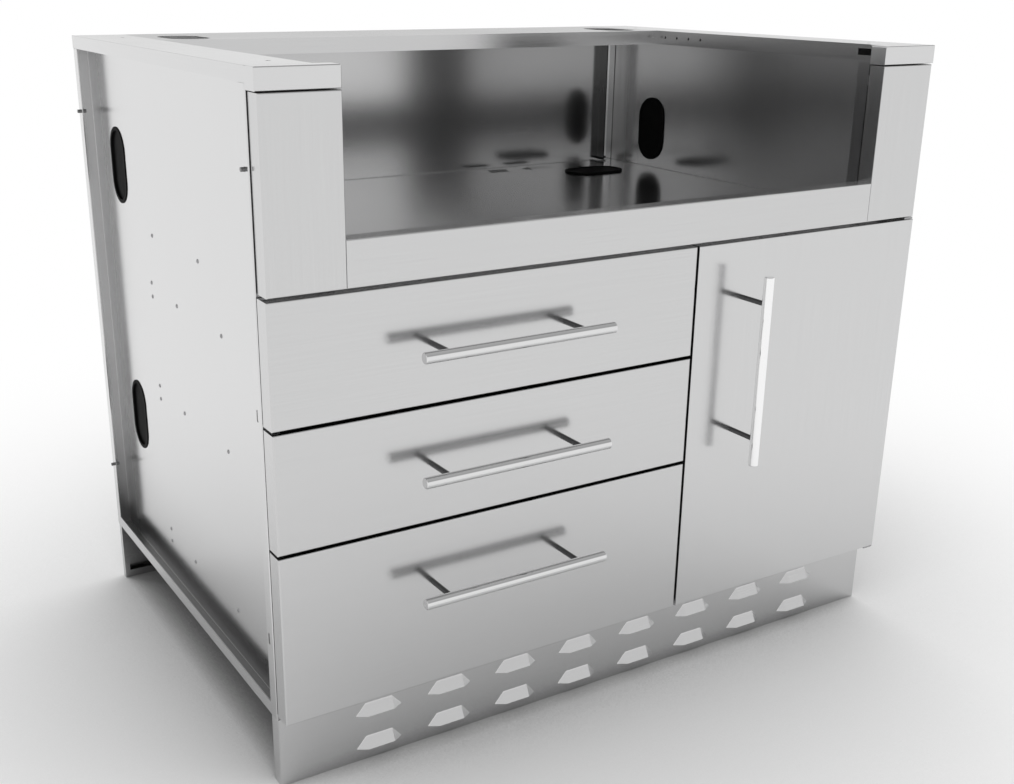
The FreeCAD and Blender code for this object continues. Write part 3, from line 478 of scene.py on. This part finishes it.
bead = ring_along(plug_tree, bead_path, bead_across, size["Bead height"], size["Bead round"], bead_low)
neck = ring_along(plug_tree, neck_path, size["Neck wall"], size["Sheet"], neck_round, 0.0)
lip = ring_along(plug_tree, lip_path, lip_across, size["Lip height"], size["Lip round"], size["Sheet"])
web_path = oblong_path(
    plug_tree,
    sum_of(plug_tree, clear_length, size["Neck wall"], 0.5),
    sum_of(plug_tree, clear_width, size["Neck wall"], 0.5),
)
under = wire(plug_tree, "GeometryNodeFillCurve", {"Curve": web_path}, mode="NGONS").outputs["Mesh"]
risen = wire(plug_tree, "GeometryNodeExtrudeMesh", {"Mesh": under, "Offset Scale": size["Web thickness"]})
web = join_of(plug_tree, [under, risen.outputs["Mesh"]])
web = wire(plug_tree, "GeometryNodeMergeByDistance", {"Geometry": web, "Distance": 1e-6}).outputs["Geometry"]
web_low = sum_of(plug_tree, size["Sheet"], size["Web setback"])
web = moved(plug_tree, web, vector_of(plug_tree, 0.0, 0.0, web_low))
plug = join_of(plug_tree, [bead, neck, lip, web])
inward = wire(plug_tree, "GeometryNodeInputNamedAttribute", {"Name": "inward"}, data_type="FLOAT_VECTOR")
along = wire(plug_tree, "GeometryNodeInputNamedAttribute", {"Name": "along"}, data_type="FLOAT_VECTOR")
turn = wire(plug_tree, "FunctionNodeAxesToRotation", {
    "Primary Axis": inward.outputs["Attribute"], "Secondary Axis": along.outputs["Attribute"],
}, primary_axis="Z", secondary_axis="X").outputs["Rotation"]
plugs = wire(plug_tree, "GeometryNodeInstanceOnPoints", {
    "Points": size["Spots"], "Instance": plug, "Rotation": turn,
})
closing(plug_tree, plugs.outputs["Instances"], rubber)

plug_points = []
plug_aims = {"inward": [], "along": []}
for low, high in solids_of("grommets"):
    spot = (low + high) / 2
    extent = high - low
    if extent.z < extent.x:
        spot.z = low.z
        plug_aims["inward"].append((0.0, 0.0, 1.0))
        plug_aims["along"].append((1.0, 0.0, 0.0))
    else:
        side = -1.0 if spot.x < 0.0 else 1.0
        spot.x = low.x if side < 0.0 else high.x
        plug_aims["inward"].append((-side, 0.0, 0.0))
        plug_aims["along"].append((0.0, 0.0, 1.0))
    plug_points.append(spot)
pipe_plugs = grown("pipe_hole_plugs", plug_tree, plug_sizes, plug_points, [], plug_aims)
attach(pipe_plugs, "cabinet")
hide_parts("grommets")


# Joining pins: turned steel pins with a slim neck, set in holes of the side pans' lips.
# They stand out at both sides and locate the next cabinet of the row.
pin_steel = plain_metal("pin_steel", tint=(0.2, 0.2, 0.202), dullness=0.3, speck=700.0)
finish(pin_steel, "joining_pins")


# Panel screws: cross-recess pan heads of plain steel, through the side webs and the partition
# into the slides and the turned-down edges of the tray. Each was left at its own angle.
screw_sizes = {
    "Head radius": 0.003, "Head height": 0.0012, "Recess length": 0.0034, "Recess width": 0.0007,
    "Recess depth": 0.0007, "Shank radius": 0.002, "Shank length": 0.0024, "Spin seed": 7,
}
screw_tree, size = maker("cross_recess_screw", screw_sizes)
ball = wire(screw_tree, "GeometryNodeMeshUVSphere", {"Segments": 28, "Rings": 16, "Radius": 1.0})
crown = vector_of(screw_tree, size["Head radius"], size["Head radius"], size["Head height"])
dome = wire(screw_tree, "GeometryNodeTransform", {"Geometry": ball.outputs["Mesh"], "Scale": crown})
cut = wire(screw_tree, "GeometryNodeMeshBoolean", {
    "Mesh 1": dome.outputs["Geometry"],
}, operation="DIFFERENCE", solver="EXACT")
block = sum_of(screw_tree, 0.0, size["Head radius"], 4.0)
under_head = wire(screw_tree, "GeometryNodeMeshCube", {"Size": vector_of(screw_tree, block, block, block)})
below = vector_of(screw_tree, 0.0, 0.0, sum_of(screw_tree, 0.0, block, -0.5))
screw_tree.links.new(moved(screw_tree, under_head.outputs["Mesh"], below), cut.inputs["Mesh 2"])
deep = sum_of(screw_tree, 0.0, size["Recess depth"], 2.0)
head_top = vector_of(screw_tree, 0.0, 0.0, size["Head height"])
for along_x, along_y in (("Recess length", "Recess width"), ("Recess width", "Recess length")):
    arm_size = vector_of(screw_tree, size[along_x], size[along_y], deep)
    arm = wire(screw_tree, "GeometryNodeMeshCube", {"Size": arm_size}).outputs["Mesh"]
    screw_tree.links.new(moved(screw_tree, arm, head_top), cut.inputs["Mesh 2"])
stem = {"Vertices": 16, "Radius": size["Shank radius"], "Depth": size["Shank length"]}
shank = wire(screw_tree, "GeometryNodeMeshCylinder", stem).outputs["Mesh"]
sunk = vector_of(screw_tree, 0.0, 0.0, sum_of(screw_tree, 0.0, size["Shank length"], -0.5))
screw = join_of(screw_tree, [cut.outputs["Mesh"], moved(screw_tree, shank, sunk)])
outward = wire(screw_tree, "GeometryNodeInputNamedAttribute", {"Name": "outward"}, data_type="FLOAT_VECTOR")
aim = {"Vector": outward.outputs["Attribute"]}
stand = wire(screw_tree, "FunctionNodeAlignRotationToVector", aim, axis="Z")
chance = wire(screw_tree, "FunctionNodeRandomValue", {2: 0.0, 3: math.pi, "Seed": size["Spin seed"]})
twist = {"Axis": (0.0, 0.0, 1.0), "Angle": chance.outputs[1]}
spin = wire(screw_tree, "FunctionNodeAxisAngleToRotation", twist)
left_at = wire(screw_tree, "FunctionNodeRotateRotation", {
    "Rotation": stand.outputs["Rotation"], "Rotate By": spin.outputs["Rotation"],
}, rotation_space="LOCAL").outputs["Rotation"]
screws = wire(screw_tree, "GeometryNodeInstanceOnPoints", {
    "Points": size["Spots"], "Instance": screw, "Rotation": left_at,
})
closing(screw_tree, screws.outputs["Instances"], fastener_steel)

left_web = -0.4
screw_points = []
screw_outward = []
for low, high in solids_of("panel_screws"):
    spot = (low + high) / 2
    side = -1.0 if spot.x < left_web else 1.0
    spot.x = low.x + screw_sizes["Head height"] if side < 0.0 else high.x - screw_sizes["Head height"]
    screw_points.append(spot)
    screw_outward.append((side, 0.0, 0.0))
screw_aims = {"outward": screw_outward}
panel_screws = grown("cross_recess_panel_screws", screw_tree, screw_sizes, screw_points, [], screw_aims)
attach(panel_screws, "cabinet")
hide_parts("panel_screws")


# Slides: zinc-plated steel channels, three to a side, nested so that each drawer runs out fully.
# The outer ones are screwed to the side web and the partition, the inner ones to the drawer box.
zinc = plain_metal("zinc_plate", tint=(0.55, 0.56, 0.58), dullness=0.3, speck=120.0)
drawers = ("drawer_1", "drawer_2", "drawer_3")
for drawer in drawers:
    finish(zinc, f"{drawer}_slide_outer", f"{drawer}_slide_middle", f"{drawer}_slide_inner")


# Drawers: folded sheet boxes behind a pan-shaped front skin with a flat liner.
# The grain of the fronts lies level, the boxes are left as rolled, and their top edges are rolled into a hem.
box_sheet = polished_sheet("box_sheet", tint=(0.52, 0.52, 0.525), dullness=0.46, grain_axis="y")
hem_sizes = {"Hem radius": 0.0016}
hem_tree, size = maker("rolled_hem", hem_sizes)
rim = wire(hem_tree, "GeometryNodeMeshToCurve", {"Mesh": size["Spots"]}).outputs["Curve"]
roll = wire(hem_tree, "GeometryNodeCurvePrimitiveCircle", {"Resolution": 14, "Radius": size["Hem radius"]})
hem = wire(hem_tree, "GeometryNodeCurveToMesh", {"Curve": rim, "Profile Curve": roll.outputs["Curve"]})
closing(hem_tree, hem.outputs["Mesh"], box_sheet)
rim_edges = [(0, 1), (1, 2), (2, 3), (3, 0)]
for drawer in drawers:
    finish(front_sheet, f"{drawer}_front_skin")
    finish(box_sheet, f"{drawer}_front_liner", f"{drawer}_box")
    low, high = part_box(f"{drawer}_box")
    level = high[2] - hem_sizes["Hem radius"]
    near = low[1] + hem_sizes["Hem radius"]
    far = high[1] - half_sheet
    left = low[0] + half_sheet
    right = high[0] - half_sheet
    corners = [(left, near, level), (right, near, level), (right, far, level), (left, far, level)]
    box_hem = grown(f"{drawer}_box_hem", hem_tree, hem_sizes, corners, rim_edges, {})
    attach(box_hem, drawer)


# Door: the same front skin and liner as the drawers, with the grain standing upright.
# It turns on two hidden pins at its right corners.
door_sheet = polished_sheet("door_sheet", tint=(0.62, 0.62, 0.622), dullness=0.17, grain_axis="z")
finish(door_sheet, "door_front_skin")
finish(box_sheet, "door_front_liner")


# Handles: polished round bars on two dark steel posts each, screwed on from behind the fronts.
# The screws are the same cross-recess ones as in the panels, longer, with their heads inside the front.
# Painted shade: the level bars are the same polished steel as the upright bar, toned darker.
shaded_level_bar = polished_sheet(
    "level_bar_painted_shade", tint=(0.72, 0.72, 0.722), dullness=0.08, grain_axis="x", bite=faint,
)
upright_bar = polished_sheet(
    "upright_bar_polish", tint=(0.9, 0.9, 0.902), dullness=0.06, grain_axis="z", bite=faint,
)
post_steel = plain_metal("post_steel", tint=(0.1, 0.1, 0.102), dullness=0.3, speck=300.0)
post_screw_sizes = dict(screw_sizes)
post_screw_sizes["Shank length"] = 0.014
for owner in (*drawers, "door"):
    finish(upright_bar if owner == "door" else shaded_level_bar, f"{owner}_handle_bar")
    finish(post_steel, f"{owner}_handle_posts")
    points = []
    for low, high in solids_of(f"{owner}_handle_screws"):
        spot = (low + high) / 2
        spot.y = high.y - post_screw_sizes["Head height"]
        points.append(spot)
    inside = {"outward": [(0.0, 1.0, 0.0)] * len(points)}
    post_screws = grown(f"{owner}_post_screws", screw_tree, post_screw_sizes, points, [], inside)
    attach(post_screws, owner)
    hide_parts(f"{owner}_handle_screws")


# Door hardware: stamped pivot brackets with pins, nylon bushings, magnetic catch and its strike plate.
# The brackets and the catch are on the carcass, the bushings and the strike on the door.
def moulded_nylon(name, tint, dullness):
    """Pale moulded nylon, slightly uneven in tone."""
    material, tree, shader, place = blank_finish(name)
    flow = unevenness(tree, place, scale=180.0, detail=3.0)
    shades = two_tone(tree, flow, tint, (0.0, 1.0), (0.9, 1.05))
    tree.links.new(shades, shader.inputs["Base Color"])
    wear = spread(tree, flow, (0.0, 1.0), (dullness - 0.08, dullness + 0.08))
    tree.links.new(wear, shader.inputs["Roughness"])
    return material


finish(fastener_steel, "door_pivot_brackets", "door_strike")
bushing_nylon = moulded_nylon("bushing_nylon_skin", tint=(0.8, 0.79, 0.75), dullness=0.45)
finish(bushing_nylon, "door_pivot_bushings")
catch_black = moulded_black("catch_black", tint=(0.03, 0.03, 0.03), dullness=0.45)
finish(catch_black, "door_catch")


# Bumpers: small black rubber studs on the front of the carcass.
# The closed fronts rest near them, so that they shut softly.
finish(rubber, "bumpers")


# Studio: a plain white floor that runs into a white surround, lit evenly from all round.
# A darker band high up shows only as a reflection, in the folds and on the bars.
# The floor's colour is darkened by ambient occlusion near the cabinet, a painted shadow, and fades to plain
# white further out.
def grey_ramp(tree, value, stops):
    """Grey levels along a value, from the first stop to the last."""
    ramp = wire(tree, "ShaderNodeValToRGB", {"Fac": value})
    elements = ramp.color_ramp.elements
    first, *between, last = stops
    for element, (position, grey) in zip(elements, (first, last)):
        element.position = position
        element.color = (grey, grey, grey, 1.0)
    for position, grey in between:
        elements.new(position).color = (grey, grey, grey, 1.0)
    return ramp.outputs["Color"]


world = bpy.data.worlds.new("studio_air")
scene.world = world
world.use_nodes = True
world.cycles.sampling_method = "NONE"
air = world.node_tree
toward = wire(air, "ShaderNodeTexCoord").outputs["Generated"]
height = wire(air, "ShaderNodeSeparateXYZ", {"Vector": toward}).outputs["Z"]
band = grey_ramp(air, height, ((0.42, 1.0), (0.58, 0.42), (1.0, 0.55)))
mirrored = wire(air, "ShaderNodeLightPath").outputs["Is Glossy Ray"]
white = (1.0, 1.0, 1.0, 1.0)
shown = wire(air, "ShaderNodeMix", {0: mirrored, 6: white, 7: band}, data_type="RGBA").outputs[2]
air.links.new(shown, air.nodes["Background"].inputs["Color"])
air.nodes["Background"].inputs["Strength"].default_value = 1.0

floor_reach = 14.0
shelter_reach = 1.2
fade_from, fade_to = 0.75, 1.8
floor_mesh = bpy.data.meshes.new("studio_floor")
floor_signs = ((-1, -1), (1, -1), (1, 1), (-1, 1))
floor_corners = [(x * floor_reach, y * floor_reach, 0.0) for x, y in floor_signs]
floor_mesh.from_pydata(floor_corners, [], [(0, 1, 2, 3)])
studio_floor = bpy.data.objects.new("studio_floor", floor_mesh)
scene.collection.objects.link(studio_floor)
floor_white = bpy.data.materials.new("floor_white")
floor_white.use_nodes = True
tree = floor_white.node_tree
tree.nodes.remove(tree.nodes["Principled BSDF"])
shelter = wire(tree, "ShaderNodeAmbientOcclusion", {"Distance": shelter_reach}, samples=8).outputs["AO"]
# Painted shadow: the floor's colour darkens with the occlusion near the cabinet.
painted_floor_shadow = grey_ramp(tree, shelter, ((0.3, 0.2), (0.5, 0.7), (0.65, 0.79), (0.8, 0.87), (0.92, 1.0)))
place = wire(tree, "ShaderNodeTexCoord").outputs["Object"]
away = wire(tree, "ShaderNodeVectorMath", {0: place}, operation="LENGTH").outputs["Value"]
fade = spread(tree, away, (fade_from, fade_to), (0.0, 1.0), interpolation_type="SMOOTHSTEP")
lit = wire(tree, "ShaderNodeBsdfDiffuse", {"Color": painted_floor_shadow}).outputs["BSDF"]
bright = wire(tree, "ShaderNodeEmission", {"Strength": 1.0}).outputs["Emission"]
mixed = wire(tree, "ShaderNodeMixShader", {0: fade, 1: lit, 2: bright}).outputs["Shader"]
tree.links.new(mixed, tree.nodes["Material Output"].inputs["Surface"])
floor_mesh.materials.append(floor_white)


# Camera: at the photograph's place, turned 31 degrees to the left of the front and looking down.
# The lens, the roll and the shift come from the photograph's straight edges.
camera_data = bpy.data.cameras.new("front_left")
camera = bpy.data.objects.new("front_left", camera_data)
scene.collection.objects.link(camera)
scene.camera = camera
camera_turn = math.radians(31.258)
camera_tilt = math.radians(19.529)
camera_roll = math.radians(0.459)
camera_spot = Vector((-0.9894, -1.5522, 0.9664))
flat = math.cos(camera_tilt)
ahead = Vector((math.sin(camera_turn) * flat, math.cos(camera_turn) * flat, -math.sin(camera_tilt)))
level = Vector((math.cos(camera_turn), -math.sin(camera_turn), 0.0))
upright = level.cross(ahead)
across = level * math.cos(camera_roll) + upright * math.sin(camera_roll)
upwards = upright * math.cos(camera_roll) - level * math.sin(camera_roll)
camera.matrix_world = Matrix((
    (across.x, upwards.x, -ahead.x, camera_spot.x),
    (across.y, upwards.y, -ahead.y, camera_spot.y),
    (across.z, upwards.z, -ahead.z, camera_spot.z),
    (0.0, 0.0, 0.0, 1.0),
))
camera_data.sensor_width = 36.0
camera_data.sensor_fit = "HORIZONTAL"
camera_data.lens = 44.282
camera_data.shift_x = 0.03313
camera_data.shift_y = 0.02324
camera_data.clip_start = 0.02
camera_data.clip_end = 60.0
scene.view_settings.view_transform = "Standard"
